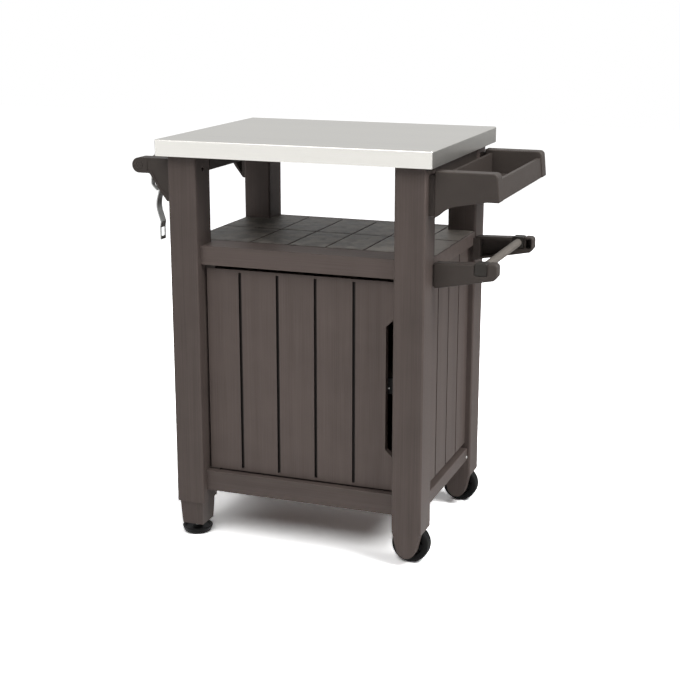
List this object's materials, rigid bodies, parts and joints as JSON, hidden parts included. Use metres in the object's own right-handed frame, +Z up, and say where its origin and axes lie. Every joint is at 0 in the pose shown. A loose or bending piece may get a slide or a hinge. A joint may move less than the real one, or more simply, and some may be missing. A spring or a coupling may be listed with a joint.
{
  "type": "grill cart with storage",
  "caption": "Outdoor grill cart with steel worktop, open tiled shelf, closed cabinet with a plank door, side tray, towel holder, push handle and wheels.",
  "frame": {"origin": "on the floor, under the centre of the whole cart's bounding box", "axes": "+Z up, +X towards the wheels, tray and towel holder, -X towards the handle, -Y towards the door, which is the front"},
  "size_m": [0.8267, 0.512, 0.9],
  "materials": {
    "stainless": "brushed, satin",
    "core": "moulded, matt",
    "tiled_resin": "slate-like tiles, matt",
    "leg_resin": "fine upright grain, satin-matt",
    "frame_resin": "fine lengthwise grain, satin-matt",
    "door_resin": "brushed planks, satin-matt",
    "panel_resin": "brushed planks, satin-matt",
    "tray_resin": "moulded, satin-matt",
    "bracket_resin": "moulded, satin-matt",
    "rail_resin": "moulded, satin-matt",
    "catch_resin": "moulded, matt",
    "block_resin": "moulded, matt",
    "roller_resin": "ringed, matt",
    "black_resin": "moulded, matt",
    "pad_resin": "moulded, matt",
    "tyre_rubber": "smooth, matt",
    "opener_steel": "satin",
    "plated_steel": "zinc plated",
    "magnet": "sintered, dark"
  },
  "bodies": {
    "cart": {"apron_left": "frame_resin", "apron_rear": "frame_resin", "apron_right": "frame_resin", "arm_screws": "plated_steel", "axle_cap_front": "black_resin", "axle_cap_rear": "black_resin", "axle_front": "plated_steel", "axle_rear": "plated_steel", "back_panel": "panel_resin", "bracket_screws": "plated_steel", "cabinet_floor": "panel_resin", "catch_housing": "catch_resin", "catch_magnet": "magnet", "condiment_tray": "tray_resin", "foot_insert_front": "black_resin", "foot_insert_rear": "black_resin", "front_rail": "frame_resin", "handle_bracket_front": "bracket_resin", "handle_bracket_rear": "bracket_resin", "handle_rail": "rail_resin", "hinge_bracket_lower": "bracket_resin", "hinge_bracket_upper": "bracket_resin", "hinge_pin_lower": "plated_steel", "hinge_pin_upper": "plated_steel", "inner_shelf": "panel_resin", "leg_front_left": "leg_resin", "leg_front_right": "leg_resin", "leg_rear_left": "leg_resin", "leg_rear_right": "leg_resin", "rail_bolts": "plated_steel", "rail_cap_front": "black_resin", "rail_cap_rear": "black_resin", "rear_rail": "frame_resin", "shelf_ledge_left": "panel_resin", "shelf_ledge_right": "panel_resin", "side_panel_left": "panel_resin", "side_panel_right": "panel_resin", "side_rail_left": "frame_resin", "side_rail_right": "frame_resin", "tiled_shelf": "tiled_resin", "towel_arm_front": "bracket_resin", "towel_arm_rear": "bracket_resin", "tray_screws": "plated_steel", "worktop_panel": "core", "worktop_screws": "plated_steel", "worktop_sheet": "stainless"},
    "door": {"door": "door_resin", "strike_plate": "plated_steel"},
    "wheel_front": {"wheel_hub_front": "black_resin", "tyre_front": "tyre_rubber"},
    "wheel_rear": {"wheel_hub_rear": "black_resin", "tyre_rear": "tyre_rubber"},
    "pad_front": {"foot_pad_front": "pad_resin"},
    "pad_rear": {"foot_pad_rear": "pad_resin"},
    "stem_front": {"foot_stem_front": "plated_steel"},
    "stem_rear": {"foot_stem_rear": "plated_steel"},
    "roller": {"towel_roller": "roller_resin", "roller_block_front": "block_resin", "roller_block_rear": "block_resin"},
    "opener": {"bottle_opener": "opener_steel"}
  },
  "joints": [
    {"name": "door_hinge", "type": "hinge", "parent": "cart", "child": "door", "pos_m": [-0.2285, -0.192, 0.389], "axis": [0, 0, -1], "range_deg": [0, 98]},
    {"name": "wheel_front_spin", "type": "hinge", "parent": "cart", "child": "wheel_front", "pos_m": [0.23325, -0.1895, 0.0415], "axis": [0, 1, 0], "continuous": true},
    {"name": "wheel_rear_spin", "type": "hinge", "parent": "cart", "child": "wheel_rear", "pos_m": [0.23325, 0.2065, 0.0415], "axis": [0, 1, 0], "continuous": true},
    {"name": "foot_front_height", "type": "slide", "parent": "cart", "child": "pad_front", "axis": [0, 0, -1], "range_m": [0, 0.01]},
    {"name": "stem_front_turn", "type": "hinge", "parent": "pad_front", "child": "stem_front", "pos_m": [-0.279, -0.198, 0.02], "axis": [0, 0, -1], "range_deg": [0, 1440]},
    {"name": "foot_rear_height", "type": "slide", "parent": "cart", "child": "pad_rear", "axis": [0, 0, -1], "range_m": [0, 0.01]},
    {"name": "stem_rear_turn", "type": "hinge", "parent": "pad_rear", "child": "stem_rear", "pos_m": [-0.279, 0.198, 0.02], "axis": [0, 0, -1], "range_deg": [0, 1440]},
    {"name": "roller_lift", "type": "slide", "parent": "cart", "child": "roller", "axis": [0, 0, 1], "range_m": [0, 0.05]},
    {"name": "opener_swing", "type": "hinge", "parent": "cart", "child": "opener", "pos_m": [-0.3885, -0.111, 0.838], "axis": [0, 1, 0], "range_deg": [-20, 60]}
  ],
  "couplings": [
    {"joint": "stem_front_turn", "follows": "foot_front_height", "rad_per_m": 2513.3},
    {"joint": "stem_rear_turn", "follows": "foot_rear_height", "rad_per_m": 2513.3}
  ]
}
